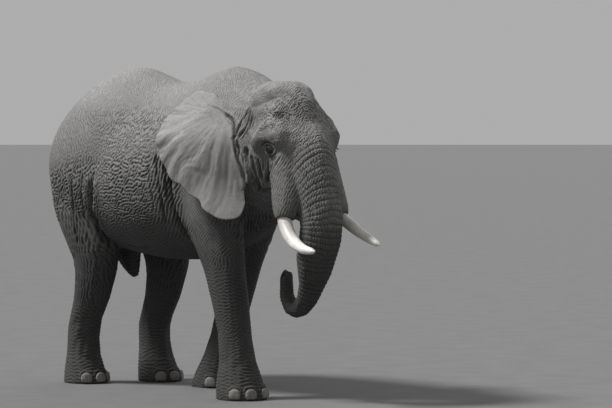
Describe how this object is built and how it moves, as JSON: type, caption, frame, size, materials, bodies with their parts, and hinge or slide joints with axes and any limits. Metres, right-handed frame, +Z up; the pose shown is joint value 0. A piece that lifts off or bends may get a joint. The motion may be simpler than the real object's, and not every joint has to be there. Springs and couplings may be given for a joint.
{
  "type": "african elephant model",
  "caption": "Life-size still model of an African bush elephant bull walking with its trunk curled, standing on its own feet.",
  "frame": {"origin": "the middle of the bounding box on the floor, between the four feet", "axes": "+X to the animal's left, -Y ahead of it, +Z up"},
  "size_m": [1.6426, 4.1224, 2.9493],
  "materials": {
    "hide": "dry wrinkled grey hide",
    "ivory": "smooth ivory, faintly streaked",
    "eye": "wet dark brown eye",
    "nail": "dull worn toenail",
    "tail_hair": "coarse black hair"
  },
  "bodies": {
    "root": {"torso": "hide", "neck": "hide", "head": "hide", "jaw": "hide", "trunk_1": "hide", "trunk_2": "hide", "trunk_3": "hide", "trunk_4": "hide", "trunk_5": "hide", "ear_left": "hide", "ear_right": "hide", "tail_upper": "hide", "tail_lower": "hide", "front_leg_upper_left": "hide", "front_leg_lower_left": "hide", "front_foot_left": "hide", "front_leg_upper_right": "hide", "front_leg_lower_right": "hide", "front_foot_right": "hide", "hind_leg_upper_left": "hide", "hind_leg_lower_left": "hide", "hind_foot_left": "hide", "hind_leg_upper_right": "hide", "hind_leg_lower_right": "hide", "hind_foot_right": "hide", "tusk_left": "ivory", "tusk_right": "ivory", "eye_left": "eye", "eye_right": "eye", "toenail_front_left_1": "nail", "toenail_front_left_2": "nail", "toenail_front_left_3": "nail", "toenail_front_left_4": "nail", "toenail_front_right_1": "nail", "toenail_front_right_2": "nail", "toenail_front_right_3": "nail", "toenail_front_right_4": "nail", "toenail_hind_left_1": "nail", "toenail_hind_left_2": "nail", "toenail_hind_left_3": "nail", "toenail_hind_right_1": "nail", "toenail_hind_right_2": "nail", "toenail_hind_right_3": "nail", "tail_tuft": "tail_hair"}
  },
  "joints": []
}
